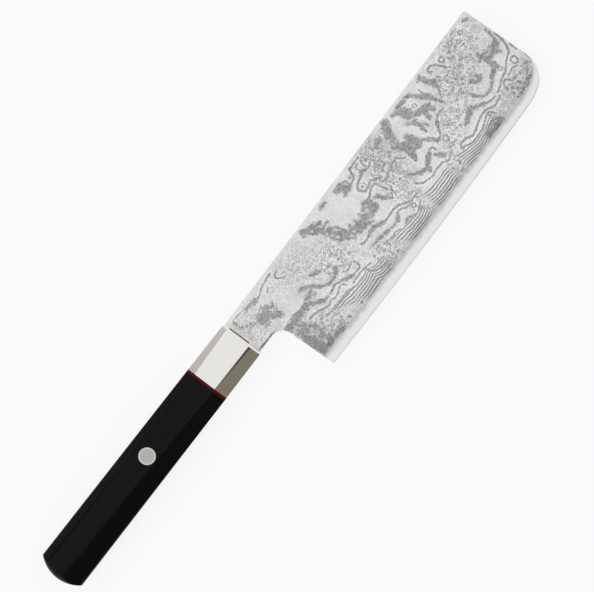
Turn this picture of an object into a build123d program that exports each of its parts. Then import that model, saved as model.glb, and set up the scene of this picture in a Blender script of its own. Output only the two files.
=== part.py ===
from build123d import *
from dataclasses import dataclass
import os

# Every length is in millimetres. The knife is drawn with x from the bolster's front face towards the tip,
# y up from the handle's centreline towards the spine, and z out from the blade's middle plane.

# Blade outline
edge_length = 165.0  # heel corner to the foremost point of the tip curve
heel_setback = 15.7  # bolster's front face to the heel corner
blade_height = 50.15  # spine to heel corner
spine_height = 10.05  # spine above the centreline
neck_drop = 10.1  # neck's underside below the centreline
heel_lean = 1.25  # top of the heel line behind its corner
heel_fillet_radius = 6.2
belly_depth = 0.55  # lowest point of the edge below the heel corner
belly_distance = 77.0  # heel corner to the lowest point
toe_rise = 0.45  # where the tip curve begins, above the heel corner
toe_length = 20.7  # tip curve measured along the blade
tip_curve_height = 17.65  # tip curve measured up the front line
toe_arm = 17.1  # how long the tip curve keeps the edge's direction
tip_arm = 10.4  # how long it keeps the front line's direction
front_lean = 1.55  # spine corner behind the foremost point

# Blade section
blade_thickness = 2.0
core_thickness = 0.64
flat_height = 18.0  # parallel flat below the spine, where the grind starts
grind_foot_thickness = 0.72  # where the long grind meets the edge grind
core_band_height = 5.5  # bare core steel above the edge
final_bevel_thickness = 0.24
final_bevel_height = 0.5
spine_bevel_height = 1.8
spine_bevel_depth = 0.25
spine_bevel_length = 150.0  # the bevel runs out before the tip
toe_lift_share = 0.87  # how much of the bare band's height is left at the toe
tip_lift_share = 0.6  # and near the upper end of the tip curve

# Hidden tang
tang_length = 98.0
tang_height = 11.0
tang_thickness = 1.8
tang_rise = 1.3  # tang's middle above the centreline

# Bolster
bolster_length = 26.4
bolster_wall = 1.3
bolster_front_wall = 3.0
bolster_corner_radius = 0.25
bolster_roll_radius = 5.0  # the lower side corners are polished round towards the front
bolster_chamfer_length = 1.6
bolster_chamfer_step = 0.6  # steeper part of the chamfer, next to the front face
bolster_step_top = 0.6  # how far each face has come in where that steeper part begins
bolster_step_bottom = 0.35
bolster_step_side = 0.12
bolster_step_facet = 0.62
bolster_chamfer_top = 1.15  # and at the front face
bolster_chamfer_bottom = 0.65
bolster_chamfer_side = 0.58
bolster_chamfer_facet = 1.1
tang_clearance = 0.05

# Handle
liner_thickness = 1.3
handle_length = 110.45
handle_thickness = 16.5
handle_corner_radius = 0.4
butt_upper_radius = 5.0
butt_top_radius = 2.5
butt_lower_radius = 7.0
butt_bottom_radius = 2.5
butt_arc_radius = 16.8
butt_arc_rise = 0.9
butt_rim_radius = 5.5
butt_rim_rise = 0.7  # how far the rim's rounding would run past the wide flats
tenon_clearance = 0.05
tenon_end_gap = 0.3
slot_play_height = 1.0
slot_play_thickness = 0.6
slot_end_play = 2.0

# Eight-sided section at the bolster's front, at the liner and at the butt. Heights are from the
# centreline, facet heights are measured down the side, and flats are whole widths.
front_top = 10.55
front_bottom = 11.0
front_upper_facet = 2.5
front_lower_facet = 6.27
front_top_flat = 11.5
front_bottom_flat = 7.9
joint_top = 10.95
joint_bottom = 10.9
joint_upper_facet = 3.67
joint_lower_facet = 6.75
joint_top_flat = 9.2
joint_bottom_flat = 7.3
butt_top = 12.56
butt_bottom = 10.18
butt_upper_facet = 4.5
butt_lower_facet = 9.93
butt_top_flat = 7.5
butt_bottom_flat = 6.1

# Rivet
rivet_before_tang_end = 28.9
rivet_rise = 1.84
rivet_head_diameter = 8.2
rivet_head_thickness = 2.2
rivet_rim_width = 0.75
rivet_recess_depth = 0.12
rivet_edge_break = 0.12
barrel_diameter = 5.0
shank_diameter = 3.2
rivet_fit = 0.02  # play all round the shank, the barrel and the heads
barrel_end_gap = 0.3
sleeve_floor = 1.2

# Overrun of cutting shapes past the faces that they open
overrun = 5.0

# Worked out from the sizes above
half_blade = blade_thickness / 2
half_core = core_thickness / 2
half_tang = tang_thickness / 2
half_handle = handle_thickness / 2
heel_y = spine_height - blade_height
tip_x = heel_setback + edge_length
toe_x = tip_x - toe_length
toe_y = heel_y + toe_rise
tip_y = toe_y + tip_curve_height
front_slope = front_lean / (spine_height - tip_y)
joint_x = -bolster_length - liner_thickness
butt_x = joint_x - handle_length
tenon_end = -bolster_front_wall - tenon_end_gap
tang_top = tang_rise + tang_height / 2
tang_bottom = tang_rise - tang_height / 2
slot_end = -tang_length - slot_end_play
rivet_x = rivet_before_tang_end - tang_length


def block(x_range, y_range, z_half):
    """Box between two x and two y places, centred on the middle plane."""
    (x_low, x_high), (y_low, y_high) = x_range, y_range
    box = Box(x_high - x_low, y_high - y_low, 2 * z_half)
    return Pos((x_low + x_high) / 2, (y_low + y_high) / 2, 0) * box


def across(face, x):
    """A face drawn in height and width, stood across the knife at x."""
    return Pos(x, 0, 0) * (Plane.YZ * face)


def ruled_body(sections):
    """Straight-walled body through the sections, with each flat wall a true plane."""
    faces = loft(sections, ruled=True).faces()
    return Solid(Shell([Face(face.outer_wire()) if face.is_planar else face for face in faces]))


# Blade


def blank_outline():
    """Outline of the blade blank, neck and tang, running past the edge and the front."""
    neck_corner = Vector(heel_setback - heel_lean, -neck_drop)
    heel_line = Vector(heel_setback, heel_y) - neck_corner
    below_heel = neck_corner + heel_line * ((neck_corner.Y - heel_y + overrun) / -heel_line.Y)
    face = make_face(
        Polyline(
            (-tang_length, tang_bottom),
            (-tang_length, tang_top),
            (0, tang_top),
            (0, spine_height),
            (tip_x + overrun, spine_height),
            (tip_x + overrun, heel_y - overrun),
            below_heel,
            neck_corner,
            (0, -neck_drop),
            (0, tang_bottom),
            close=True,
        )
    )
    return fillet(face.vertices().sort_by_distance(neck_corner)[0], heel_fillet_radius)


def edge_outline(lift):
    """Outline of the ground blade with its edge raised by lift, running past spine, heel and tang."""
    behind = -tang_length - overrun
    above = spine_height + overrun
    heel = Vector(heel_setback, heel_y + lift)
    belly = heel + Vector(belly_distance, -belly_depth)
    toe = Vector(toe_x, toe_y + lift * toe_lift_share)
    toe_control = toe + Vector(toe_arm, 0)
    tip = Vector(tip_x, tip_y)
    tip_control = tip + Vector(front_slope * tip_arm, lift * tip_lift_share - tip_arm)
    front_corner = Vector(tip_x - front_slope * (above - tip_y), above)
    return make_face(
        [
            Line((behind, heel.Y), heel),
            ThreePointArc(heel, belly, toe),
            Bezier(toe, toe_control, tip_control, tip),
            Line(tip, front_corner),
            Line(front_corner, (behind, above)),
            Line((behind, above), (behind, heel.Y)),
        ]
    )


def grind_half_thickness(y):
    """Half thickness of the long grind at height y."""
    top = spine_height - flat_height
    foot = heel_y + core_band_height
    foot_half = grind_foot_thickness / 2
    return foot_half + (half_blade - foot_half) * (y - foot) / (top - foot)


def edge_grind():
    """Upper half of the ground blade: final bevel, edge grind and front, each following the edge."""
    final_half = final_bevel_thickness / 2
    lift_rate = (core_band_height - final_bevel_height) / (half_core - final_half)
    tip_half = grind_half_thickness(tip_y)
    tip_lift = final_bevel_height + lift_rate * (tip_half - final_half)
    stages = [
        (0, 0),
        (final_half, final_bevel_height),
        (tip_half, tip_lift),
        (half_blade + overrun, tip_lift),
    ]
    return loft([Pos(0, 0, z) * edge_outline(lift) for z, lift in stages], ruled=True)


def long_grind():
    """Space of the near cladding: the flat below the spine and the long grind that thins it."""
    top = spine_height - flat_height
    rate = (half_blade - grind_half_thickness(heel_y)) / (top - heel_y)
    meets_core = top - (half_blade - half_core) / rate
    section = make_face(
        Polyline(
            (spine_height + overrun, half_core),
            (spine_height + overrun, half_blade),
            (top, half_blade),
            (meets_core, half_core),
            close=True,
        )
    )
    start = -tang_length - overrun
    return extrude(across(section, start), amount=tip_x + overrun - start, dir=(1, 0, 0))


def spine_bevel():
    """Slim wedge taken off the near edge of the spine, from the bolster until it runs out."""
    share = (spine_bevel_length + overrun) / spine_bevel_length
    corner = Vector(spine_height, half_blade)
    down = Vector(-spine_bevel_height, 0) * share
    inwards = Vector(0, -spine_bevel_depth) * share
    triangle = make_face(Polyline(corner + down, corner + inwards, corner - down - inwards, close=True))
    run_out = Vertex(spine_bevel_length, spine_height, half_blade)
    return loft([across(triangle, -overrun), run_out])


def make_blade():
    """Core layer and the two cladding layers welded to it."""
    ground = edge_grind()
    rivet_hole = Cylinder(barrel_diameter / 2 + rivet_fit, handle_thickness)
    rivet_hole = Pos(rivet_x, rivet_rise, 0) * rivet_hole
    half = extrude(blank_outline(), amount=half_core) & ground
    core = half + mirror(half, about=Plane.XY) - rivet_hole
    cladding = extrude(blank_outline(), amount=half_blade + overrun) & ground & long_grind()
    tang_zone = block((-tang_length - overrun, 0), (tang_bottom - overrun, tang_top + overrun), overrun)
    beside_tang = Pos(0, 0, half_tang + overrun) * tang_zone
    near = cladding - beside_tang - spine_bevel() - rivet_hole
    return core, near, mirror(near, about=Plane.XY)


# Handle and bolster


@dataclass
class Section:
    """Eight-sided section across the handle, alike on both sides of the blade's middle plane."""

    top: float
    bottom: float
    upper_facet: float
    lower_facet: float
    top_flat: float
    bottom_flat: float
    width: float = handle_thickness

    def facet_drawn_in(self, height, flat, end, side, facet):
        """Height of one facet and width of the flat beyond it, once each face has come in."""
        depth = (self.width - flat) / 2
        length = Vector(height, depth).length
        new_height = height - end + (facet * length - side * height) / depth
        return new_height, flat + 2 * (end * depth - facet * length) / height

    def drawn_in(self, top, bottom, side, facet):
        """The section with its top, bottom, sides and facets each moved inwards."""
        upper_facet, top_flat = self.facet_drawn_in(self.upper_facet, self.top_flat, top, side, facet)
        lower_facet, bottom_flat = self.facet_drawn_in(
            self.lower_facet, self.bottom_flat, bottom, side, facet
        )
        width = self.width - 2 * side
        return Section(
            self.top - top, self.bottom - bottom, upper_facet, lower_facet, top_flat, bottom_flat, width
        )

    def sharp(self, inset=0):
        """Face with sharp corners, drawn in all round by inset."""
        side = [
            (self.top, self.top_flat / 2),
            (self.top - self.upper_facet, self.width / 2),
            (self.lower_facet - self.bottom, self.width / 2),
            (-self.bottom, self.bottom_flat / 2),
        ]
        face = make_face(Polyline(*side, *[(y, -z) for y, z in reversed(side)], close=True))
        return offset(face, amount=-inset) if inset else face

    def rounded(self, radii):
        """The face with its corners rounded by radii, given from the top corner to the bottom one."""
        corners = [Vector(vertex) for vertex in self.sharp().vertices()]
        side = sorted((corner for corner in corners if corner.Y > 0), key=lambda corner: -corner.X)
        other = [Vector(corner.X, -corner.Y) for corner in reversed(side)]
        return make_face(FilletPolyline(*side, *other, radius=[*radii, *reversed(radii)], close=True))


front = Section(
    front_top, front_bottom, front_upper_facet, front_lower_facet, front_top_flat, front_bottom_flat
)
joint = Section(
    joint_top, joint_bottom, joint_upper_facet, joint_lower_facet, joint_top_flat, joint_bottom_flat
)
butt = Section(butt_top, butt_bottom, butt_upper_facet, butt_lower_facet, butt_top_flat, butt_bottom_flat)


def socket_shape(inset):
    """Room inside the bolster, from its rear face to its front wall, drawn in by inset."""
    rear = across(joint.sharp(inset), -bolster_length)
    return ruled_body([rear, across(front.sharp(inset), -bolster_front_wall)])


def liner_hole(inset):
    """The socket's section carried straight through the liner."""
    return extrude(across(joint.sharp(inset), joint_x), amount=liner_thickness, dir=(1, 0, 0))


def make_bolster():
    """Eight-sided ferrule with a chamfered front wall, a slot for the tang and a socket behind."""
    crisp = [bolster_corner_radius] * 4
    rolled = [bolster_corner_radius, bolster_corner_radius, bolster_roll_radius, bolster_corner_radius]
    step = front.drawn_in(bolster_step_top, bolster_step_bottom, bolster_step_side, bolster_step_facet)
    nose = front.drawn_in(
        bolster_chamfer_top, bolster_chamfer_bottom, bolster_chamfer_side, bolster_chamfer_facet
    )
    stages = [
        across(joint.rounded(crisp), -bolster_length),
        across(front.rounded(rolled), -bolster_chamfer_length),
        across(step.rounded(rolled), -bolster_chamfer_step),
        across(nose.rounded(rolled), 0),
    ]
    slot = block(
        (-bolster_front_wall - overrun, overrun),
        (tang_bottom - tang_clearance, tang_top + tang_clearance),
        half_tang + tang_clearance,
    )
    return ruled_body(stages) - socket_shape(bolster_wall) - slot


def make_liner():
    """Thin plate between bolster and handle, with a hole for the tenon."""
    outline = joint.rounded([bolster_corner_radius] * 4)
    plate = extrude(across(outline, joint_x), amount=liner_thickness, dir=(1, 0, 0))
    return plate - liner_hole(bolster_wall)


def butt_envelope():
    """Space that the handle may fill: straight ahead of the butt's arc, and the arc with its rounded rim."""
    centre_x = butt_x + butt_arc_radius
    half_height = half_handle + butt_rim_rise
    disc = Cylinder(butt_arc_radius, 2 * half_height)
    disc = fillet(disc.edges().filter_by(GeomType.CIRCLE), butt_rim_radius)
    low, high = butt_arc_rise - butt_arc_radius, butt_arc_rise + butt_arc_radius
    ahead = block((centre_x, joint_x + overrun), (low, high), half_height)
    return Pos(centre_x, butt_arc_rise, 0) * disc + ahead


def tang_slot(front_x):
    """Slot that the tang and its adhesive fill, from its blind end to front_x."""
    height = (tang_bottom - slot_play_height, tang_top + slot_play_height)
    return block((slot_end, front_x), height, half_tang + slot_play_thickness)


def make_handle():
    """Wooden block with its tenon, tang slot, rivet hole and the seats of the two rivet heads."""
    crisp = [handle_corner_radius] * 4
    soft = [butt_top_radius, butt_upper_radius, butt_lower_radius, butt_bottom_radius]
    body = ruled_body([across(joint.rounded(crisp), joint_x), across(butt.rounded(soft), butt_x)])
    inset = bolster_wall + tenon_clearance
    gap = block((tenon_end, overrun), (-front_bottom, front_top), half_handle)
    tenon = socket_shape(inset) - gap + liner_hole(inset)
    head_seat = Cylinder(rivet_head_diameter / 2 + rivet_fit, rivet_head_thickness + overrun)
    seat_z = half_handle + (overrun - rivet_head_thickness) / 2
    handle = (body & butt_envelope()) + tenon - tang_slot(overrun)
    handle -= Pos(rivet_x, rivet_rise, 0) * Cylinder(barrel_diameter / 2 + rivet_fit, handle_thickness)
    for z in (seat_z, -seat_z):
        handle -= Pos(rivet_x, rivet_rise, z) * head_seat
    return handle


def make_adhesive():
    """Hardened epoxy that fills the slot round the tang and is pierced by the rivet."""
    tang = block((-tang_length, overrun), (tang_bottom, tang_top), half_tang)
    hole = Pos(rivet_x, rivet_rise, 0) * Cylinder(barrel_diameter / 2 + rivet_fit, handle_thickness)
    return tang_slot(tenon_end) - tang - hole


# Rivet


def rivet_head():
    """Round head seen from outside, its face at the handle's flat, with a shallow turned recess."""
    radius = rivet_head_diameter / 2
    head = Cylinder(radius, rivet_head_thickness, align=(Align.CENTER, Align.CENTER, Align.MAX))
    outer_edge = head.edges().filter_by(GeomType.CIRCLE).sort_by(Axis.Z)[-1]
    head = chamfer(outer_edge, rivet_edge_break)
    recess = Cylinder(radius - rivet_rim_width, 2 * rivet_recess_depth)
    return Pos(rivet_x, rivet_rise, half_handle) * (head - recess)


def rod(diameter, z_low, z_high):
    """Round bar on the rivet's axis between two heights."""
    bar = Cylinder(diameter / 2, z_high - z_low)
    return Pos(rivet_x, rivet_rise, (z_low + z_high) / 2) * bar


def make_rivet():
    """Near half with its shank, and far half with the barrel that takes it."""
    under_head = half_handle - rivet_head_thickness
    bore_floor = sleeve_floor - half_handle
    post = rivet_head() + rod(shank_diameter, bore_floor + barrel_end_gap, under_head)
    sleeve = mirror(rivet_head(), about=Plane.XY)
    sleeve += rod(barrel_diameter, -under_head, under_head - barrel_end_gap)
    sleeve -= rod(shank_diameter + 2 * rivet_fit, bore_floor, under_head)
    return post, sleeve


def main():
    """Builds the pieces, stands the knife on its far side at the origin and writes one file a piece."""
    core, near, far = make_blade()
    post, sleeve = make_rivet()
    pieces = {
        "blade_core": core,
        "cladding_near": near,
        "cladding_far": far,
        "bolster": make_bolster(),
        "liner": make_liner(),
        "handle_block": make_handle(),
        "tang_adhesive": make_adhesive(),
        "rivet_post": post,
        "rivet_sleeve": sleeve,
    }
    box = Compound(children=[Part(piece.wrapped) for piece in pieces.values()]).bounding_box()
    to_origin = Pos(-box.center().X, -box.center().Y, -box.min.Z)
    os.makedirs("parts", exist_ok=True)
    for name, piece in pieces.items():
        export_step(to_origin * piece, f"parts/{name}.step")


main()
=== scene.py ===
"""Finishes, light and camera for a nakiri knife that lies on its side on a pale floor."""

import logging
import math
from collections.abc import Callable, Sequence
from dataclasses import dataclass, fields
from enum import Enum
from functools import cached_property

import bmesh
import bpy
import numpy as np
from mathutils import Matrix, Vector, noise


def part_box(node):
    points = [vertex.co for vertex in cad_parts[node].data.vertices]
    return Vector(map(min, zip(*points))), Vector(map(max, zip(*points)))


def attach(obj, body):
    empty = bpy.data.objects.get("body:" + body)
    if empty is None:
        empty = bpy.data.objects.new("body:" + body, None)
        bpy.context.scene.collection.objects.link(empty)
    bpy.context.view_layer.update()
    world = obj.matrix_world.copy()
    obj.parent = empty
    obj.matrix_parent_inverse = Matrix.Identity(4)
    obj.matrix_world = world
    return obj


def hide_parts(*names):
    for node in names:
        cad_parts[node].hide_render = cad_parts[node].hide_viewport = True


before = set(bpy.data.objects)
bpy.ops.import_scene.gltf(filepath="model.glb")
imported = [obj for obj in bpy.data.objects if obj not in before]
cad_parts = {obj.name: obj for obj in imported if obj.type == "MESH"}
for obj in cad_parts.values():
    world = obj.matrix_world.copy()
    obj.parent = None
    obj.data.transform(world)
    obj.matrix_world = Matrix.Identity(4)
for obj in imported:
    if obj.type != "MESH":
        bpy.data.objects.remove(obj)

LOG = logging.getLogger("nakiri_knife")
BODY = "root"
MM = 0.001

Material = bpy.types.Material
Mesh = bmesh.types.BMesh
Node = bpy.types.Node
Piece = bpy.types.Object
Socket = bpy.types.NodeSocket

# How exactly the meshes are cut and joined
CUT_SLACK = 1e-7  # metres
WELD = 1e-6  # metres
LEVEL = 0.05  # degrees between faces that lie in one plane
MOST_CORNERS = 4  # of a face that isn't split into triangles

# Sockets of the colour Mix node, which share their names with others
MIX_SHARE = 0
MIX_FIRST = 6
MIX_SECOND = 7
MIX_RESULT = 2

# Where Blender's noise has its middle, and between which values nearly all of it lies
NOISE_MIDDLE = 0.5
NOISE_LOW = 0.3
NOISE_HIGH = 0.7

HALF = 0.5  # of a pair of layers or a wave, where a line is mirrored


class Side(Enum):
    """The two faces of the blade; the value is the sign of z that a face looks along."""

    NEAR = 1
    FAR = -1


def linear(colour: str) -> tuple[float, float, float, float]:
    """The linear colour of an sRGB hex value, by the curve of the sRGB standard.

    Args:
        colour: six hex digits after a hash mark.

    Returns:
        Red, green, blue and full opacity.
    """
    channels = [int(colour[start:start + 2], 16) / 255 for start in (1, 3, 5)]
    return (*[c / 12.92 if c <= 0.04045 else ((c + 0.055) / 1.055) ** 2.4 for c in channels], 1.0)


def per_metre(size_mm: float) -> float:
    """Texture scale at which a pattern's feature is size_mm across."""
    return 1 / (size_mm * MM)


class Nodes:
    """The shader nodes of a material or a world, cleared and then filled."""

    def __init__(self, owner: Material | bpy.types.World) -> None:
        """Turns on the owner's nodes and clears them.

        Args:
            owner: the material or world.
        """
        owner.use_nodes = True
        self.tree: bpy.types.NodeTree = owner.node_tree
        self.tree.nodes.clear()

    @cached_property
    def place(self) -> Socket:
        """Object coordinates, which every pattern reads."""
        return self.add("TexCoord").outputs["Object"]

    def link(self, node: Node, inputs: dict | Sequence) -> None:
        """Gives a node's inputs their values and links.

        Args:
            node: the node.
            inputs: values, outputs, or nodes for their first output, in the inputs' order or by name.
        """
        for name, value in inputs.items() if isinstance(inputs, dict) else enumerate(inputs):
            if isinstance(value, Node):
                value = value.outputs[0]
            if isinstance(value, Socket):
                self.tree.links.new(value, node.inputs[name])
            else:
                node.inputs[name].default_value = value

    def add(self, kind: str, inputs: dict | Sequence = (), **settings: str | bool) -> Node:
        """Adds a node with its settings and links.

        Args:
            kind: Blender's name for the kind of node, after "ShaderNode".
            inputs: the node's inputs, as link takes them.
            settings: the node's own properties.

        Returns:
            The new node.
        """
        node = self.tree.nodes.new("ShaderNode" + kind)
        for name, value in settings.items():
            setattr(node, name, value)
        self.link(node, inputs)
        return node

    def mottle(
        self, size: float, least: float, most: float = 1.0, detail: float = 3.0, low: float = NOISE_LOW,
        high: float = NOISE_HIGH, stretch: tuple[float, float, float] = (1.0, 1.0, 1.0),
    ) -> Node:
        """Adds a soft random pattern that runs between two values.

        Args:
            size: mm from one spot to the next.
            least: the value where the noise is low.
            most: the value where it is high.
            detail: how much finer noise lies on it.
            low: the noise that gives the first value.
            high: the noise that gives the second.
            stretch: how fine the spots stay along x, y and z.

        Returns:
            The node with the value.
        """
        place = self.add("Mapping", {"Vector": self.place, "Scale": stretch})
        spots = self.add("TexNoise", {"Vector": place, "Scale": per_metre(size), "Detail": detail})
        return self.add("MapRange", [spots, low, high, least, most])

    def ragged(self, inside: Socket | Node, reach: float, size: float, detail: float, rough: float) -> Node:
        """Lets the distance to an outline wander, so that the outline turns ragged.

        Args:
            inside: distance inside the outline.
            reach: how far the outline wanders to each side.
            size: mm from one turn of the outline to the next.
            detail: how much finer noise lies on it.
            rough: how strong the finer turns are.

        Returns:
            The node with the distance inside the ragged outline.
        """
        noisy = {"Vector": self.place, "Scale": per_metre(size), "Detail": detail, "Roughness": rough}
        wander = self.add("TexNoise", noisy)
        wander = self.add("Math", [wander, NOISE_MIDDLE], operation="SUBTRACT")
        return self.add("Math", [wander, reach * 2, inside], operation="MULTIPLY_ADD")

    def darkened(
        self, dark: Node | float, value: Node, full: float, none: float, depth: float,
        strength: Socket | Node,
    ) -> Node:
        """Adds a figure to the darkness so far.

        Args:
            dark: darkness so far.
            value: what the figure goes by.
            full: the value at which the figure is fully dark.
            none: the value at which it has faded away.
            depth: how dark it is.
            strength: how much of that shows at a place.

        Returns:
            The node with the darkness from 0 to 1.
        """
        figure = self.add("MapRange", [value, full, none, depth, 0.0], interpolation_type="SMOOTHSTEP")
        figure = self.add("Math", [figure, strength], operation="MULTIPLY")
        return self.add("Math", [dark, figure], operation="MAXIMUM")


# Finishes


@dataclass(frozen=True)
class Finish:
    """A material with a Principled shader, whose looks its own nodes draw on object coordinates."""

    name: str
    colour: str
    roughness: float
    metallic: float = 0.0
    sheen_level: float = 0.5

    def material(self) -> Material:
        """Builds the material.

        Returns:
            The material, with its looks linked to its shader.
        """
        material = bpy.data.materials.new(self.name)
        nodes = Nodes(material)
        shader = nodes.add("BsdfPrincipled", {
            "Roughness": self.roughness, "Metallic": self.metallic, "Specular IOR Level": self.sheen_level,
        })
        nodes.link(shader, self.looks(nodes))
        nodes.add("OutputMaterial", {"Surface": shader})
        return material

    def looks(self, nodes: Nodes) -> dict:
        """What varies over the surface.

        Args:
            nodes: the material's nodes.

        Returns:
            A node or an output for each of the shader's inputs that it feeds.
        """
        raise NotImplementedError

    def toned(self, nodes: Nodes, tone: Node) -> Socket:
        """The finish's colour, made darker by a tone."""
        inputs = {MIX_SHARE: 1.0, MIX_FIRST: linear(self.colour), MIX_SECOND: tone}
        return nodes.add("Mix", inputs, data_type="RGBA", blend_type="MULTIPLY").outputs[MIX_RESULT]


@dataclass(frozen=True)
class Etching:
    """One kind of dark figure that the acid leaves in the folded steel.

    The figure's attribute holds how many millimetres a place lies inside the figure's outline.
    """

    attribute: str
    depth: float  # how much darker than the bright steel
    ragged: float  # mm that the outline wanders to each side
    ragged_size: float  # mm from one turn of the outline to the next
    softness: float  # mm to each side of its outline over which the figure fades
    spread: float = 0.0  # mm that it reaches past the outline


@dataclass(frozen=True)
class DamascusSteel(Finish):
    """Folded nickel and carbon steel, ground and etched.

    The carbon steel turns grey in the acid and the nickel steel stays bright, so the eye sees ragged grey
    patches where a layer lies level, fine lines where the grind cuts through the layers, and small rings
    where the hammer dented them. The nickel steel is brightest right beside a dark layer. The finest rings
    are drawn a little coarser than the real steel's, so that they show. The dark line and cloud along the
    neck's lower edge are painted shade, a painted dark reflection of that rounded edge.
    """

    name: str = "etched_damascus_steel"
    colour: str = "#EBEBEB"
    roughness: float = 0.34
    metallic: float = 1.0
    etched_roughness: float = 0.46
    etched_darkness: float = 0.6  # the darkness that has it
    figures: tuple[Etching, ...] = (
        Etching("smears", 0.66, 5.0, 1.3, 1.0),
        Etching("patches", 0.70, 2.4, 1.9, 0.30),
        Etching("patches", 0.36, 3.4, 0.8, 0.70, 0.55),
        Etching("lines", 0.68, 1.0, 1.1, 0.26),
    )
    ragged_detail: float = 4.0
    ragged_roughness: float = 0.72  # how strong the outline's finer turns are
    patch_mottle: float = 0.45  # how much of a patch's depth its own mottle takes back
    patch_mottle_size: float = 0.8
    patch_mottle_low: float = 0.35
    halo_starts: float = -1.3  # mm inside the outline, so this is outside it
    halo_ends: float = -0.35
    halo_gain: float = 0.10  # how much brighter the steel is beside a dark layer
    stripe_depth: float = 0.61
    stripe_share: float = 0.44  # how much of each pair of layers is carbon steel
    stripe_softness: float = 0.14  # pairs of layers over which a line fades to each side
    ripple: float = 0.95  # pairs of layers
    ripple_size: float = 3.4
    ripple_detail: float = 4.0
    ripple_roughness: float = 0.62
    ring_depth: float = 0.58
    ring_sizes: tuple[float, ...] = (2.5, 1.7)  # mm between the dents
    ring_radius: float = 0.30  # share of that distance
    ring_line: float = 0.11  # share of it over which a ring's line fades to each side
    ring_bend: float = 0.8  # mm
    contour_depth: float = 0.42
    contour_size: float = 1.5
    contour_detail: float = 1.5
    contour_count: float = 3.2
    contour_share: float = 0.30
    blotch: float = 0.3  # how uneven the deeper etch is
    grain: tuple[float, float, float] = (0.55, 0.15, 2.0)  # size in mm, depth and detail
    cloud: tuple[float, float, float] = (9.0, 0.08, 1.0)
    etch_depth: float = 0.010  # mm

    def looks(self, nodes: Nodes) -> dict:
        """Draws the pattern from the attributes that the cladding's mesh carries.

        Args:
            nodes: the material's nodes.

        Returns:
            What they give the shader's inputs.
        """
        dark = self.striped(nodes, self.ringed(nodes))
        dark, halo = self.figured(nodes, dark)
        ground = nodes.add("Attribute", attribute_name="ground").outputs["Fac"]
        kept = nodes.add("Math", [1.0, ground], operation="SUBTRACT")
        dark = nodes.add("Math", [dark, kept], operation="MULTIPLY")
        tone = nodes.add("Math", [self.shaded(nodes, dark), halo], operation="MULTIPLY")
        rough = [dark, 0.0, self.etched_darkness, self.roughness, self.etched_roughness]
        rough = nodes.add("MapRange", rough)
        etch = {"Strength": 1.0, "Distance": self.etch_depth * MM, "Height": dark}
        bump = nodes.add("Bump", etch, invert=True)
        return {"Base Color": self.toned(nodes, tone), "Roughness": rough, "Normal": bump}

    def ringed(self, nodes: Nodes) -> Node:
        """Draws the rings and fine contours that show where the attribute "rings" is high.

        Args:
            nodes: the material's nodes.

        Returns:
            The node with the darkness from 0 to 1.
        """
        strength = nodes.add("Attribute", attribute_name="rings").outputs["Fac"]
        scale = per_metre(self.contour_size)
        bend = nodes.add("TexNoise", {"Vector": nodes.place, "Scale": scale}).outputs["Color"]
        bend = nodes.add("VectorMath", [bend, [NOISE_MIDDLE] * 3], operation="SUBTRACT")
        bend = nodes.add("VectorMath", {0: bend, "Scale": self.ring_bend * MM}, operation="SCALE")
        bent = nodes.add("VectorMath", [nodes.place, bend], operation="ADD")
        waves = nodes.add("TexNoise", {"Vector": bent, "Scale": scale, "Detail": self.contour_detail})
        waves = nodes.add("Math", [waves, self.contour_count], operation="MULTIPLY")
        waves = nodes.add("Math", [waves, HALF], operation="PINGPONG")
        dark = nodes.darkened(0.0, waves, 0.0, self.contour_share, self.contour_depth, strength)
        for size in self.ring_sizes:
            dents = nodes.add("TexVoronoi", {"Vector": bent, "Scale": per_metre(size)})
            ring = nodes.add("Math", [dents, self.ring_radius], operation="SUBTRACT")
            ring = nodes.add("Math", [ring], operation="ABSOLUTE")
            dark = nodes.darkened(dark, ring, 0.0, self.ring_line, self.ring_depth, strength)
        return dark

    def striped(self, nodes: Nodes, dark: Node) -> Node:
        """Adds the parallel lines where the grind cuts through the layers.

        Args:
            nodes: the material's nodes.
            dark: darkness so far.

        Returns:
            The node with the darkness from 0 to 1.
        """
        height = nodes.add("Attribute", attribute_name="layers").outputs["Fac"]
        strength = nodes.add("Attribute", attribute_name="stripes").outputs["Fac"]
        ripple = nodes.add("TexNoise", {
            "Vector": nodes.place, "Scale": per_metre(self.ripple_size), "Detail": self.ripple_detail,
            "Roughness": self.ripple_roughness,
        })
        height = nodes.add("Math", [ripple, self.ripple, height], operation="MULTIPLY_ADD")
        fold = nodes.add("Math", [height, HALF], operation="PINGPONG")
        edge = self.stripe_share / 2
        full, none = edge - self.stripe_softness, edge + self.stripe_softness
        return nodes.darkened(dark, fold, full, none, self.stripe_depth, strength)

    def figured(self, nodes: Nodes, dark: Node) -> tuple[Node, Node]:
        """Adds the broad patches and the single lines, each with its ragged outline.

        Args:
            nodes: the material's nodes.
            dark: darkness so far.

        Returns:
            The nodes with the darkness from 0 to 1 and the gain of the bright steel beside the figures.
        """
        kept = nodes.mottle(self.patch_mottle_size, 1.0, 1 - self.patch_mottle, low=self.patch_mottle_low)
        nearest = self.halo_starts
        for figure in self.figures:
            distance = nodes.add("Attribute", attribute_name=figure.attribute).outputs["Fac"]
            inside = nodes.ragged(
                distance, figure.ragged, figure.ragged_size, self.ragged_detail, self.ragged_roughness
            )
            full, none = figure.softness - figure.spread, -figure.softness - figure.spread
            dark = nodes.darkened(dark, inside, full, none, figure.depth, kept)
            nearest = nodes.add("Math", [nearest, inside], operation="MAXIMUM")
        gain = [nearest, self.halo_starts, self.halo_ends, 1.0, 1 + self.halo_gain]
        return dark, nodes.add("MapRange", gain, interpolation_type="SMOOTHSTEP")

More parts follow.
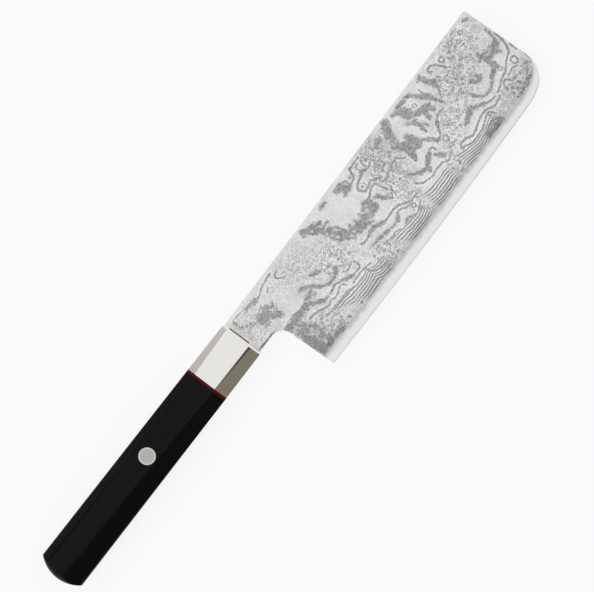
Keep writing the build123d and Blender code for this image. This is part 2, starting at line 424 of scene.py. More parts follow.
    def shaded(self, nodes: Nodes, dark: Node) -> Node:
        """Turns darkness into a tone, with grain, slow clouds, the deeper etch near the edge and a painted
        dark reflection along the neck's lower edge.

        Args:
            nodes: the material's nodes.
            dark: darkness of all figures.

        Returns:
            The node with the share of the bright steel's shine that is left.
        """
        tone = nodes.add("Math", [1.0, dark], operation="SUBTRACT")
        for size, depth, detail in (self.grain, self.cloud):
            level = nodes.mottle(size, 1 - depth, 1 + depth / 2, detail)
            tone = nodes.add("Math", [tone, level], operation="MULTIPLY")
        shade = nodes.add("Attribute", attribute_name="shade").outputs["Fac"]
        uneven = nodes.mottle(self.contour_size, 1 - self.blotch, 1 + self.blotch)
        shade = nodes.add("Math", [shade, uneven], operation="MULTIPLY")
        light = nodes.add("Math", [1.0, shade], operation="SUBTRACT", use_clamp=True)
        return nodes.add("Math", [tone, light], operation="MULTIPLY")


@dataclass(frozen=True)
class GroundCoreSteel(Finish):
    """Bare high-carbon core steel, ground on a fine stone.

    It is the brightest part of the blade. The weld line shows as a soft dark haze that the acid left
    just above the grind. The stone's scratches are drawn coarser than its grit, so that they show.
    """

    name: str = "ground_core_steel"
    colour: str = "#ECECEB"
    roughness: float = 0.3
    metallic: float = 1.0
    middle: float = 8.25  # mm above the floor, where the core's middle plane lies
    haze_starts: float = 0.325  # half thickness in mm at the weld line
    haze_ends: float = 0.215
    haze_depth: float = 0.38
    haze_ragged: float = 0.05
    haze_ragged_size: float = 2.5
    haze_detail: float = 3.0
    haze_roughness: float = 0.5
    scratch_size: float = 0.5
    scratch_stretch: tuple[float, float, float] = (1.0, 0.1, 1.0)
    scratch_depth: float = 0.05

    def looks(self, nodes: Nodes) -> dict:
        """Draws the haze by the steel's thickness, which tells how far the weld line is.

        Args:
            nodes: the material's nodes.

        Returns:
            What they give the shader's inputs.
        """
        height = nodes.add("SeparateXYZ", [nodes.place]).outputs["Z"]
        half = nodes.add("Math", [height, self.middle * MM], operation="SUBTRACT")
        half = nodes.add("Math", [half], operation="ABSOLUTE")
        half = nodes.add("Math", [half, per_metre(1.0)], operation="MULTIPLY")
        half = nodes.ragged(
            half, self.haze_ragged, self.haze_ragged_size, self.haze_detail, self.haze_roughness
        )
        haze = [half, self.haze_ends, self.haze_starts, 1.0, 1 - self.haze_depth]
        haze = nodes.add("MapRange", haze, interpolation_type="SMOOTHSTEP")
        scratch = nodes.mottle(self.scratch_size, 1 - self.scratch_depth, stretch=self.scratch_stretch)
        tone = nodes.add("Math", [haze, scratch], operation="MULTIPLY")
        return {"Base Color": self.toned(nodes, tone)}


@dataclass(frozen=True)
class PolishedNickelSilver(Finish):
    """Copper, nickel and zinc, cast and polished on a felt wheel, so it mirrors the room softly.

    The wheel's lines are drawn as coarse as the picture can show.
    """

    name: str = "polished_nickel_silver"
    colour: str = "#E9E7E2"
    roughness: float = 0.16
    metallic: float = 1.0
    roughness_change: float = 0.2  # share by which it differs from line to line
    scratch_size: float = 0.5
    scratch_stretch: tuple[float, float, float] = (0.08, 1.0, 1.0)  # the wheel ran along the knife
    scratch_depth: float = 0.03

    def looks(self, nodes: Nodes) -> dict:
        """Draws the polishing lines in tone and roughness.

        Args:
            nodes: the material's nodes.

        Returns:
            What they give the shader's inputs.
        """
        tone = nodes.mottle(self.scratch_size, 1 - self.scratch_depth, stretch=self.scratch_stretch)
        dull = self.roughness * (1 + self.roughness_change)
        clear = self.roughness * (1 - self.roughness_change)
        rough = nodes.mottle(self.scratch_size, dull, clear, stretch=self.scratch_stretch)
        return {"Base Color": self.toned(nodes, tone), "Roughness": rough}


@dataclass(frozen=True)
class TurnedStainlessSteel(Finish):
    """Stainless steel faced on a lathe, dull grey inside its rim, with fine rings round its axis."""

    name: str = "turned_stainless_steel"
    colour: str = "#CECECC"
    roughness: float = 0.38
    metallic: float = 1.0
    axis: tuple[float, float] = (0.0, 0.0)  # x and y in metres
    rim_radius: float = 3.3  # mm
    rim_blend: float = 0.2
    inside_tone: float = 0.81
    ring_spacing: float = 0.45  # mm, coarser than the tool's feed so that it shows
    ring_detail: float = 2.0
    ring_depth: float = 0.12

    def looks(self, nodes: Nodes) -> dict:
        """Draws the rings round the rivet's axis.

        Args:
            nodes: the material's nodes.

        Returns:
            What they give the shader's inputs.
        """
        location = (-self.axis[0], -self.axis[1], 0.0)
        centred = nodes.add("Mapping", {"Vector": nodes.place, "Location": location})
        level = nodes.add("VectorMath", [centred, (1.0, 1.0, 0.0)], operation="MULTIPLY")
        radius = nodes.add("VectorMath", [level], operation="LENGTH").outputs["Value"]
        inputs = {"W": radius, "Scale": per_metre(self.ring_spacing), "Detail": self.ring_detail}
        rings = nodes.add("TexNoise", inputs, noise_dimensions="1D")
        rings = nodes.add("MapRange", [rings, NOISE_LOW, NOISE_HIGH, 1 - self.ring_depth])
        inner = (self.rim_radius - self.rim_blend) * MM
        rim = nodes.add("MapRange", [radius, inner, self.rim_radius * MM, self.inside_tone])
        tone = nodes.add("Math", [rings, rim], operation="MULTIPLY")
        return {"Base Color": self.toned(nodes, tone)}


@dataclass(frozen=True)
class MottledSolid(Finish):
    """A dull solid material with a faint mottle, such as vulcanised fibre or cast epoxy."""

    sheen_level: float = 0.3
    dark: str = "#000000"
    mottle_size: float = 1.0
    mottle_low: float = 0.35  # noise where the dark colour is
    mottle_high: float = 0.65  # and where the other one is

    def looks(self, nodes: Nodes) -> dict:
        """Draws the mottle between the two colours.

        Args:
            nodes: the material's nodes.

        Returns:
            What they give the shader's inputs.
        """
        share = nodes.mottle(self.mottle_size, 0.0, low=self.mottle_low, high=self.mottle_high)
        return {"Base Color": self.mixed(nodes, share)}

    def mixed(self, nodes: Nodes, share: Node) -> Socket:
        """A colour between the dark one and the other, by the other's share."""
        inputs = {MIX_SHARE: share, MIX_FIRST: linear(self.dark), MIX_SECOND: linear(self.colour)}
        return nodes.add("Mix", inputs, data_type="RGBA").outputs[MIX_RESULT]


@dataclass(frozen=True)
class LaminatedWood(MottledSolid):
    """Black resin-bonded birch laminate, sanded and buffed, so it is deep black with a dull sheen."""

    name: str = "black_laminated_wood"
    colour: str = "#0C0C0C"
    roughness: float = 0.34
    sheen_level: float = 0.1
    dark: str = "#060606"  # the pores
    mottle_size: float = 0.6
    roughness_change: float = 0.15
    grain_stretch: tuple[float, float, float] = (0.05, 1.0, 1.0)  # the grain runs along the handle
    grain_detail: float = 4.0
    grain_roughness: float = 0.6
    grain_height: float = 0.02  # mm
    bump_strength: float = 0.25

    def looks(self, nodes: Nodes) -> dict:
        """Draws the grain along the handle, in colour, roughness and height.

        Args:
            nodes: the material's nodes.

        Returns:
            What they give the shader's inputs.
        """
        grain = nodes.add("TexNoise", {
            "Vector": nodes.add("Mapping", {"Vector": nodes.place, "Scale": self.grain_stretch}),
            "Scale": per_metre(self.mottle_size), "Detail": self.grain_detail,
            "Roughness": self.grain_roughness,
        })
        share = nodes.add("MapRange", [grain, self.mottle_low, self.mottle_high])
        dull = self.roughness * (1 + self.roughness_change)
        clear = self.roughness * (1 - self.roughness_change)
        rough = nodes.add("MapRange", [grain, NOISE_LOW, NOISE_HIGH, dull, clear])
        height = {"Strength": self.bump_strength, "Distance": self.grain_height * MM, "Height": grain}
        bump = nodes.add("Bump", height)
        return {"Base Color": self.mixed(nodes, share), "Roughness": rough, "Normal": bump}


# Pattern of the blade. Places are millimetres from the bolster's face and millimetres down from the spine.


@dataclass(frozen=True)
class Fold:
    """A layer of carbon steel that comes to the surface along a path.

    Each spot is a place of the path and how far the layer shows to each side of it there.
    """

    spots: tuple[tuple[float, float, float], ...]


def line(width: float, *places: tuple[float, float]) -> Fold:
    """A fold that shows equally far to each side all along its path."""
    return Fold(tuple((*place, width) for place in places))


@dataclass(frozen=True)
class Ring:
    """A dent of the forging hammer that the grind has cut into a ring of carbon steel."""

    centre: tuple[float, float]
    radius: float
    width: float = 0.0  # how far the carbon steel shows to each side of the radius


@dataclass(frozen=True)
class Zone:
    """A cloud with a strength at its centre that fades over its reach."""

    strength: float
    centre: tuple[float, float]
    reach: tuple[float, float]


@dataclass(frozen=True)
class Run:
    """A stretch of the grind whose layers show as parallel lines; its start leans with the depth."""

    start: float
    lean: float
    end: float


PATCHES = (
    # above the heel, then down towards the parallel lines
    Fold(((15.4, 24, 1.4), (20, 24.2, 1.8), (25, 24.2, 1.5), (29.6, 24.2, 1.3))),
    Fold(((29.6, 24.4, 1.2), (33, 27.2, 1.1), (36, 29.5, 1), (38, 29.6, 0.6))),
    Fold(((32.6, 22.6, 0.9), (35.6, 22.2, 0.8))),
    Fold(((48.4, 30.4, 0.6), (50.6, 31.6, 1.1), (52.4, 32.6, 0.6))),
    # the slanting streaks under the first third of the spine
    Fold(((32.3, 17.7, 0.8), (35.1, 19.1, 1.1), (38, 21.3, 1.1), (39.4, 23.8, 1), (43, 26.6, 0.6))),
    Fold(((44.4, 26.3, 0.5), (48.7, 26.3, 1), (50.9, 24.5, 0.9))),
    Fold(((41, 17, 0.7), (43.4, 18.6, 1.2), (45.4, 19.8, 0.6))),
    # the bow
    Fold(((53.9, 2.2, 1.1), (56.4, 4.4, 1.7), (58.8, 7, 1.9), (60.6, 9, 1.2))),
    Fold(((59.2, 5.4, 0.8), (62.4, 6.2, 0.9))),
    Fold(((61, 10.8, 0.5), (63, 12, 1.4), (64.6, 13.2, 0.8))),
    Fold(((60.6, 15.4, 0.9), (63.6, 17.4, 2.4), (66.6, 19.2, 1.7))),
    Fold(((66.4, 18.2, 0.9), (68.8, 20.6, 2.2), (70.6, 23, 1.4))),
    Fold(((71, 20.6, 1.2), (74.2, 22.4, 2), (77, 21.2, 1.6), (79.8, 22.2, 2.1))),
    Fold(((79.6, 18.4, 1.2), (81.6, 20.8, 2.4), (83.4, 22.4, 1.8))),
    Fold(((81.6, 16.8, 0.8), (84, 19, 1.1), (84.8, 22.8, 0.7))),
    Fold(((65.8, 13.6, 0.7), (66.8, 18, 0.9))),
    Fold(((70.2, 17, 0.6), (69.6, 19.6, 0.9))),
    Fold(((72.8, 18.4, 0.6), (74, 21, 0.9))),
    Fold(((76.6, 18.2, 0.6), (77.4, 21, 0.8))),
    Fold(((61, 8.6, 0.8), (64.8, 8.8, 0.6))),
    Fold(((64.6, 20.6, 0.8), (66.8, 23.4, 0.7))),
    Fold(((76, 23.6, 1), (78.4, 25.4, 0.6))),
    # under the spine in the middle
    Fold(((67.8, 3, 0.6), (69.4, 2.5, 0.9), (71.3, 2.9, 0.7))),
    Fold(((78.6, 3.6, 1.3), (81.6, 4.2, 2.1), (84.2, 4.6, 1.1))),
    Fold(((79.8, 7.4, 1.2), (83.6, 6.8, 1.4))),
    Fold(((87.3, 4.7, 0.9), (87.5, 4.7, 0.9))),
    Fold(((90.6, 8.2, 0.6), (92.6, 7.4, 1.2), (94.4, 8.2, 0.6))),
    Fold(((86.4, 19.5, 0.7), (88.1, 19.8, 0.9), (89.2, 22, 0.9), (91, 23.4, 1), (91.7, 25.2, 0.6))),
    Fold(((72.4, 27.6, 0.7), (73.9, 27.1, 1), (76.7, 27.3, 1.4), (78.9, 28.1, 1.3), (81, 29.4, 0.7))),
    Fold(((69.6, 32.3, 0.4), (73.1, 32, 0.9), (76, 32.3, 0.8), (78.1, 33.1, 0.8), (81.7, 33.8, 0.5))),
    Fold(((81.7, 33.8, 0.5), (83.9, 33.8, 0.6), (86, 33.4, 0.9), (87.4, 32.2, 0.5))),
    Fold(((85.3, 37.7, 0.4), (87.4, 37.2, 0.8), (89.6, 37.5, 0.7), (91.7, 38.4, 0.4))),
    # the dark column
    Fold(((116.4, 2.2, 1.3), (115.4, 5.4, 1.5), (113.8, 8.2, 0.9))),
    Fold(((109.8, 12.2, 0.9), (111.4, 13, 1.3), (113.4, 15.8, 2.1), (113.8, 19.6, 2.4),
        (112.6, 23.4, 0.9))),
    Fold(((117.8, 13.8, 1.2), (118.4, 17, 1.9), (118, 20.6, 1.7))),
    Fold(((114, 19, 1.9), (118, 20, 1.5))),
    Fold(((118.4, 19.6, 1.3), (120.5, 20.3, 1.1), (122.8, 22.6, 1), (124.6, 26.2, 0.6))),
    Fold(((104.6, 25.2, 0.5), (106.7, 27.3, 0.9), (108.9, 29.1, 1.2), (111.4, 30.2, 0.8))),
    Fold(((112.1, 31.6, 0.7), (113.5, 29.5, 1.1), (116, 28, 1.4), (118, 26.6, 1))),
    Fold(((119.4, 29.4, 1), (120.6, 30.8, 1.4), (122.2, 32.8, 0.8))),
    # the ragged cluster
    Fold(((121.2, 3, 0.8), (124.6, 2.9, 1), (129, 3.2, 0.8), (133.7, 2.9, 0.6))),
    Fold(((124.4, 4.4, 1.6), (125.6, 6.6, 2.4), (125.4, 9, 1.7))),
    Fold(((121.9, 9.8, 0.6), (123.6, 11.4, 1.1), (125.4, 12, 1))),
    Fold(((125.6, 12.4, 1), (125.8, 16, 1.3), (125.3, 19, 0.7))),
    Fold(((126.9, 15.8, 0.6), (127.8, 18.8, 0.6))),
    Fold(((128.4, 11.4, 1), (131.4, 12.6, 2), (134.4, 12.6, 1.5))),
    Fold(((131, 14.6, 1.2), (131.1, 17.4, 0.9))),
    Fold(((133.6, 13.8, 1), (135.2, 15.8, 0.8))),
    Fold(((134.2, 4.4, 0.6), (135.5, 7.1, 0.9), (137.4, 9.9, 1.6), (138.7, 13, 1), (140.5, 18.2, 0.6))),
    Fold(((142.4, 2.4, 1.2), (143.3, 5.8, 1.1), (145.1, 8.5, 1.4), (144.6, 11.7, 0.6))),
    # towards the tip
    Fold(((155.2, 22.4, 0.9), (157.4, 24.2, 1.9), (159.4, 24.4, 1.1))),
    Fold(((158.6, 21.8, 0.6), (160.6, 23.4, 0.7))),
    Fold(((150.5, 25.3, 0.5), (152.4, 29.4, 0.6), (155.1, 31.2, 0.8), (158.7, 30.8, 0.8),
        (161.5, 29.9, 0.8))),
    Fold(((161.5, 29.9, 0.8), (163.7, 28.2, 1.2), (165.5, 27.3, 1.4), (167.2, 27, 1.2))),
    Fold(((167.4, 17.1, 0.8), (167.8, 19.9, 1.3), (167.8, 23.5, 1.6), (167.5, 27.1, 1.4),
        (168.7, 29.4, 0.7))),
    Fold(((165, 19.4, 0.6), (167, 19.8, 0.8))),
    Fold(((168.3, 22.6, 1), (171, 22.1, 1.1), (173.7, 22.1, 1.5), (176.5, 20.3, 1.6), (177.6, 18.4, 0.9))),
    Fold(((173.8, 22.8, 1), (174.8, 24.4, 0.7))),
    Fold(((178.3, 12.6, 0.6), (177.9, 16.2, 0.8), (177.4, 18.5, 0.8))),
    Fold(((175.6, 2.6, 0.9), (176.8, 3.3, 1.1))),
    Fold(((138.8, 31.9, 0.7), (141, 31.6, 1.1), (145.1, 29.6, 1.6), (148.7, 31.6, 0.9),
        (151.9, 33.3, 0.7))),
)

SMEARS = (
    # neck
    line(2.6, (11.4, 13.4), (12.4, 11.4), (14.6, 12.2)),
    line(2.1, (14.6, 13.4), (18.8, 17)),
    line(1.5, (15.6, 9.6), (19.4, 12)),
    line(1.3, (11.4, 3.4), (16.8, 4.6)),
    line(0.9, (2.7, 3.2), (3, 6.6), (5.7, 9.1), (8.8, 11.3)),
    # heel
    line(1.5, (16.2, 25.6), (28.6, 25.2)),
    line(1.3, (31.6, 22.4), (34.6, 23.6)),
    line(2, (17, 29.4), (19.4, 30.6)),
    line(2.9, (17.2, 34.6), (18.4, 41)),
    line(1.6, (20.4, 27.4), (24, 33), (23.6, 41)),
    line(1.5, (17, 43.2), (25, 42.8), (31, 44.2)),
    line(0.8, (23.6, 34.6), (25.6, 37)),
    # beside the broad patches
    line(1.4, (60, 10.4), (62.6, 14.6), (66, 19)),
    line(1.2, (54, 4), (60, 4.6)),
    line(1.3, (70, 22), (84, 22)),
    line(2.2, (116.6, 2.6), (113.6, 5.4), (112.8, 9.8)),
    line(1.3, (109, 4.6), (106, 6)),
    line(1.8, (112, 15), (118.6, 18.6)),
    line(1.4, (126.4, 5.6), (128.6, 11.6), (133.4, 13.6)),
    line(1.3, (142.4, 3), (144.4, 9)),
    line(1.4, (169.6, 19.6), (176, 20.4)),
    # above the weld line
    line(1.8, (140.8, 43.4), (149, 43.6)),
    line(0.7, (163, 43.6), (174, 42.2)),
    line(0.4, (174, 40), (178, 36.4)),
)

HOLES = (
    Ring((57.6, 5.8), 0.5), Ring((61.2, 13.4), 0.9), Ring((62.6, 17), 0.8), Ring((69.2, 21.2), 0.7),
    Ring((75.4, 22.2), 0.7), Ring((80.6, 20.4), 0.8), Ring((78.5, 6.6), 1.2), Ring((83.9, 4.4), 0.6),
    Ring((91.9, 24), 0.9), Ring((115.3, 13.6), 0.8), Ring((115.5, 16.2), 0.7), Ring((116.1, 18.8), 0.6),
    Ring((128.8, 14.2), 0.9), Ring((137.1, 14), 1.2), Ring((158, 22.8), 0.7), Ring((167.9, 29.3), 0.8),
)

LINES = (
    # painted shade: a painted dark reflection along the neck's rounded lower edge, not a layer
    line(0.8, (0.4, 19.9), (9.6, 19.9)),
    # spine side of the neck and the first third
    line(0.35, (3.4, 2), (9, 2.3), (13.6, 3.2), (17.6, 4.6), (19.8, 4.7)),
    line(0.45, (19.8, 4.7), (22.6, 3.5), (24.4, 2.9), (27, 2.7), (30.5, 2.4)),
    line(0.45, (33.4, 3.6), (31.8, 3.9), (30.7, 5.4), (31.9, 7.5), (33.4, 8.8)),
    line(0.35, (22.6, 6.8), (24.2, 5.4), (26.2, 7)),
    line(0.3, (46.6, 20.9), (46.9, 23.6), (48, 24.6)),
    line(0.55, (42.4, 26), (44.4, 26.7), (47.6, 26.4), (49.2, 26.2), (50.6, 25)),
    line(0.35, (51.2, 28.1), (51.9, 29.1), (53.7, 29.5), (56, 29), (57.6, 28.1)),
    line(0.55, (40.1, 29.3), (42.3, 29.1), (44.1, 28.4), (45.9, 29.1), (48, 29.8), (49.8, 30.9)),
    line(0.5, (51.2, 32), (53, 32.7), (55.1, 33.1), (56.9, 33.2), (58, 32.7), (58.5, 31.3), (58.4, 29.5)),
    line(0.55, (25.1, 29.1), (26.6, 29.1), (28.4, 29.8), (30.1, 30.4), (32.3, 31.4), (34.4, 32),
        (35.9, 32.5)),
    line(0.45, (35.9, 32.5), (38, 31.6), (39.4, 32.5), (41.2, 32.3), (43, 32), (44.4, 31.1)),
    line(0.4, (44.4, 31.1), (45.9, 31.1), (46.9, 31.8), (47.6, 33.4)),
    line(0.45, (31.2, 34.2), (33.4, 34.7), (36, 34.6), (40, 35.2), (45.8, 35.4), (47.6, 36.2), (49, 36.8)),
    line(0.45, (50.2, 35.1), (51.6, 34.5), (54.8, 34.8), (58, 35), (62.6, 35.5)),
    line(0.45, (58.8, 36.8), (59.6, 38.6), (61.9, 40.4), (64.4, 41.2), (68, 41.6)),
    # the middle
    line(0.5, (84.9, 7), (86.4, 6.8), (88.1, 6.4), (89.2, 5.6), (89.6, 3.8), (90.1, 2.5), (91.4, 2.3),
        (93.5, 1.9), (96.8, 2.1)),
    line(0.45, (96.4, 3.8), (95.7, 5.5), (95.8, 7.3), (96.7, 8.6), (98.1, 7.7)),
    line(0.35, (92.2, 5.4), (92.4, 3.8), (93.5, 3.1), (94.8, 3.6)),
    line(0.55, (89.6, 8.8), (91, 8), (92.4, 6.2), (93.5, 7), (94.6, 8), (95.6, 8.8), (96.7, 8.6)),
    line(0.5, (89.6, 8.8), (87.4, 9.1), (85.6, 10.2), (84.6, 11.6), (85.5, 13.4), (87.1, 14.3),
        (88.9, 13.8)),
    line(0.65, (88.9, 13.8), (90.6, 13.4), (91.7, 12.8), (93.1, 13.8), (94.9, 14.7)),
    line(0.6, (91.4, 15.2), (89.6, 15.3), (87.8, 15.9), (86.4, 17), (83.9, 17), (82.6, 16.8)),
    line(0.5, (92.1, 15.2), (93, 17), (92.8, 19.1), (93.5, 21.3), (94.6, 23), (94.6, 24.8)),
    line(0.4, (94.6, 24.8), (93.5, 26.6), (93, 28.4)),
    line(0.45, (94.6, 17), (96, 18), (98.9, 18.4), (99.6, 17.3), (101.7, 17.7), (103.1, 16.6),
        (107.1, 15.9)),
    line(0.4, (99.6, 17.3), (99.4, 14.8), (101, 13.6), (103.6, 13.4)),
    line(0.45, (107.1, 15.9), (108.5, 18), (109.9, 19.1)),
    line(0.45, (96.7, 12.3), (97.4, 11.3)),
    line(0.55, (66, 27), (68.1, 28), (70.6, 28), (73.1, 27.3), (74.6, 27.2)),
    line(0.6, (79.6, 28.6), (81.4, 29.5), (82.8, 29.7), (85.3, 29.5), (87.4, 29.3), (89.2, 29.7),
        (91, 30.2)),
    line(0.5, (91, 30.2), (92.8, 31.3), (94.6, 32.3), (96.4, 33.4), (97.6, 33.2)),
    line(0.45, (87.1, 33.4), (87.4, 32.3), (88.9, 31.6), (90.6, 32.2), (92.1, 33.2), (94.2, 33.6)),
    line(0.45, (72.8, 35.7), (74.2, 35.7), (76, 36.3), (78.1, 36.8), (80.3, 36.6), (82.1, 37),
        (83.1, 37.7)),
    line(0.4, (94.6, 39.1), (96, 38.2), (97.4, 37.5), (98.5, 36.8)),
    line(0.4, (98.1, 33.8), (99.2, 33.2), (100.3, 33.8)),
    line(0.5, (103.3, 29.8), (104.6, 31.6), (106, 33.2), (107.8, 33.4), (109.2, 33.9), (110.6, 34.3),
        (112.4, 34.1), (114.6, 33.8), (116, 34.3), (118.3, 34.2), (120.1, 35.3)),
    line(0.45, (120.1, 35.3), (121.9, 35.8), (124.2, 34.4)),
    # the long crest behind the dark column
    line(0.85, (122.6, 22.4), (124.2, 25.3), (125.5, 26.7)),
    line(0.55, (125.5, 26.7), (126.9, 26.2), (128.7, 24.9), (130.1, 23)),
    line(0.9, (130.1, 23), (131.9, 21)),
    line(0.5, (131.9, 21), (133.7, 19.3), (136, 19), (138.3, 19.6)),
    line(0.5, (116.4, 29), (117.8, 27.1), (119.6, 25.8), (121.2, 26.5), (121.5, 28)),
    line(0.5, (131, 2.4), (133.7, 2.8), (134.3, 5)),
    line(0.4, (138.3, 5.8), (137.8, 8.5)),
    line(0.5, (144.2, 12.1), (142.8, 14), (142.1, 15.8)),
    line(0.45, (146, 9.9), (147.8, 11.2), (149.4, 11.7)),
    line(0.6, (147.4, 5.8), (147.8, 3.5), (149.6, 3), (151.5, 4.4), (152.8, 6.7), (153.7, 9)),
    line(0.45, (147.8, 7.6), (148.7, 9.9)),
    line(0.4, (160.1, 11.7), (163.5, 14.2)),
    line(0.35, (160.5, 2.1), (161.5, 4.4)),
    line(0.35, (166, 2.1), (168.3, 1.9), (170.5, 2.1)),
    line(0.45, (165.5, 9), (167.4, 9)),
    line(0.35, (136.5, 29.9), (137.4, 30.8)),
    # the nested bows towards the tip
    line(0.6, (151, 25.3), (151.9, 28), (153.6, 30.4)),
    line(0.6, (145.6, 30.2), (147.4, 30.8), (150.1, 32.4), (152.4, 33.7), (154.6, 34.6), (156.9, 34.9)),
    line(0.65, (179.5, 17.1), (179.3, 20.8), (178.6, 24.4), (176.9, 27.6)),
    line(0.55, (176.9, 27.6), (173.3, 29.2), (169.6, 31.2), (167.8, 32.1), (164.2, 32.8), (161.5, 34)),
    line(0.5, (161.5, 34), (158.7, 34.6)),
    line(0.5, (180, 25.3), (179.9, 29.9)),
    line(0.6, (128.7, 37.1), (130.1, 35.8), (134.2, 35.8), (135.5, 37.1), (137.4, 37.4), (140.1, 36.9),
        (143.3, 36), (146, 35.3), (148.7, 35.3), (150.5, 35.8), (152.4, 37.1)),
    line(0.5, (152.4, 37.1), (155.1, 37.4), (158.7, 36.9)),
    line(0.55, (128.7, 38.3), (130.5, 37.8), (131.9, 38.7), (134.2, 39.4), (137.8, 39.6), (141.5, 39.2)),
    line(0.5, (141.5, 39.2), (144.2, 38.5), (146.5, 37.8), (148.3, 36.8), (149.6, 37.4), (151, 39.9)),
    line(0.6, (141, 41.7), (144.2, 41), (147.4, 40.5), (149.6, 41.7), (150.5, 42.6)),
    line(0.5, (163, 37.6), (163, 35.8), (164.2, 34.4), (166, 34.4), (166.9, 36.2)),
    line(0.4, (168.3, 34), (171.5, 33), (174.4, 34.2)),
)

RINGS = (
    Ring((98.1, 5.7), 0.3, 0.5), Ring((87.4, 11.8), 0.3, 0.45), Ring((87.4, 11.8), 1.7, 0.25),
    Ring((92.2, 24.1), 1, 0.35), Ring((94.8, 35.6), 1, 0.35), Ring((128, 28.5), 1.35, 0.45),
    Ring((127.4, 32), 1, 0.3), Ring((133.5, 25.8), 0.3, 0.55), Ring((133.5, 25.8), 1.5, 0.25),
    Ring((139.4, 26.5), 0.3, 0.55), Ring((139.4, 26.5), 1.7, 0.25), Ring((131.2, 8.5), 0.9, 0.35),
    Ring((137.1, 14), 1.6, 0.35), Ring((149.4, 5.8), 1, 0.25), Ring((155.1, 5.3), 1.1, 0.5),
    Ring((159.9, 5.5), 0.2, 0.65), Ring((163.5, 6.5), 0.2, 0.5), Ring((163.3, 4), 0.9, 0.25),
    Ring((166.5, 6.5), 0.9, 0.35), Ring((170.3, 4.6), 0.95, 0.45), Ring((149.2, 13.3), 0.2, 0.6),
    Ring((144.4, 16.4), 1.3, 0.3), Ring((167.9, 29.3), 1, 0.3), Ring((175.5, 32), 1.5, 0.45),
    Ring((148.5, 38.5), 0.2, 0.6), Ring((172.4, 41.6), 0.4, 0.6), Ring((123.4, 39.8), 0.3, 0.6),
    Ring((37, 42.8), 0.2, 0.7), Ring((45.6, 43.4), 0.2, 0.6), Ring((35, 22.2), 0.6, 0.35),
    Ring((49, 21.4), 0.4, 0.4), Ring((54.2, 18.6), 0.7, 0.35), Ring((59.6, 25.4), 0.5, 0.4),
)

DENTED = (
    Zone(0.55, (38, 9), (16, 9)), Zone(1, (53, 22), (12, 9)), Zone(1.3, (28, 38.5), (10, 8)),
    Zone(1, (103, 9), (10, 10)), Zone(1, (99, 22), (8, 12)), Zone(0.9, (97, 37), (4, 7)),
    Zone(1.2, (70, 39), (8, 8)), Zone(1, (121, 40), (4, 5)), Zone(0.9, (150, 18), (13, 9)),
    Zone(0.9, (165, 9), (15, 9)), Zone(1, (136, 27), (10, 6)), Zone(0.9, (127, 33), (5, 5)),
    Zone(1, (168, 39), (14, 6)), Zone(0.6, (5, 12), (8, 12)), Zone(0.45, (150, 42), (5, 4)),
)

CLOUDS = (
    Zone(0.18, (18, 37), (8, 10)), Zone(0.1, (27, 39), (8, 6)), Zone(0.08, (13, 13), (8, 7)),
    Zone(0.14, (104, 8), (8, 9)), Zone(0.08, (101, 22), (7, 11)), Zone(0.12, (160, 14), (20, 12)),
    Zone(0.06, (44, 9), (18, 9)), Zone(0.22, (168, 40), (13, 5)), Zone(0.14, (178, 36), (5, 8)),
    # Zone(0.6, (5, 20.2), (6, 0.55)) is painted shade, a painted dark reflection along the neck's rounded
    # lower edge; the other zones are the deeper etch
    Zone(0.28, (96, 44.6), (100, 2.6)), Zone(0.6, (5, 20.2), (6, 0.55)), Zone(0.12, (22, 43.2), (10, 2.4)),
    Zone(0.18, (145, 43.4), (6, 2.6)), Zone(0.12, (171, 42.4), (7, 2.4)),
)

RUNS = (Run(30.5, 1.5, 70), Run(72, 0.7, 99), Run(99.5, 0, 120), Run(121.5, 0.1, 152.5))

# Top of the parallel lines, as a path along the blade
CREST = (
    (15, 34), (31, 34.4), (40, 35), (50, 36.2), (56, 36.2), (58.8, 35.2), (61, 36.8), (68, 38.2),
    (71, 36.4), (73, 35.9), (83, 37.6), (92, 38.2), (97, 37), (101, 35.4), (105, 36.5), (112, 37),
    (115, 36.4), (118, 37), (121, 36), (124, 36.8), (129, 38.6), (136, 40.2), (143, 39.4), (149, 38),
    (152, 40.5), (165, 37), (180, 33),
)


